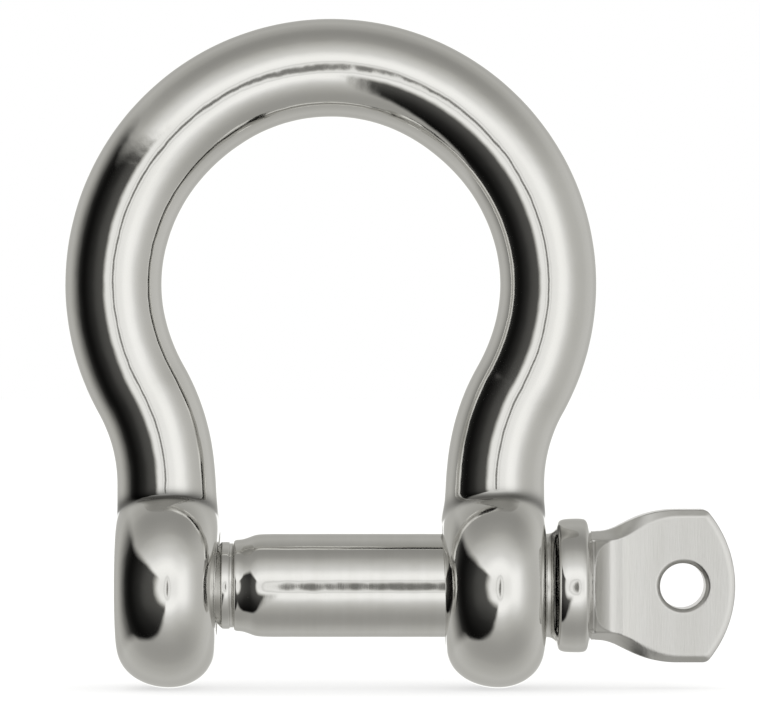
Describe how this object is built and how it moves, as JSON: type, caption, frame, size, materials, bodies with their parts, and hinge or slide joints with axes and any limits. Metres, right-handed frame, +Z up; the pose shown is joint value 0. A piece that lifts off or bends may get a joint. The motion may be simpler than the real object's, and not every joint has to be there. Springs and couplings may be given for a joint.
{
  "type": "bow shackle",
  "caption": "Bow shackle: a bent round bar with a threaded eye and a plain eye, closed by a screw pin with a collar and a flat drilled head.",
  "frame": {"origin": "on the axis of the pin, midway between the two eyes", "axes": "+X along the pin towards its head, +Z up to the crown of the bow, +Y across the bow's plane"},
  "size_m": [0.0514, 0.0158, 0.0515],
  "materials": {
    "polished_steel": "mirror-polished austenitic stainless steel",
    "satin_steel": "forged and tumbled stainless steel, satin with fine scratches"
  },
  "bodies": {
    "bow": {"bow": "polished_steel"},
    "pin_travel": {"pin_shank": "polished_steel"},
    "pin": {"pin_thread": "polished_steel", "pin_collar": "polished_steel", "pin_head": "satin_steel"}
  },
  "joints": [
    {"name": "pin_slide", "type": "slide", "parent": "bow", "child": "pin_travel", "axis": [1, 0, 0], "range_m": [-0.00083, 0.033]},
    {"name": "pin_turn", "type": "hinge", "parent": "pin_travel", "child": "pin", "pos_m": [0, 0, 0], "axis": [1, 0, 0], "range_deg": [-298.8, 11880]}
  ],
  "couplings": [
    {"joint": "pin_turn", "follows": "pin_slide", "rad_per_m": 6283.2}
  ]
}
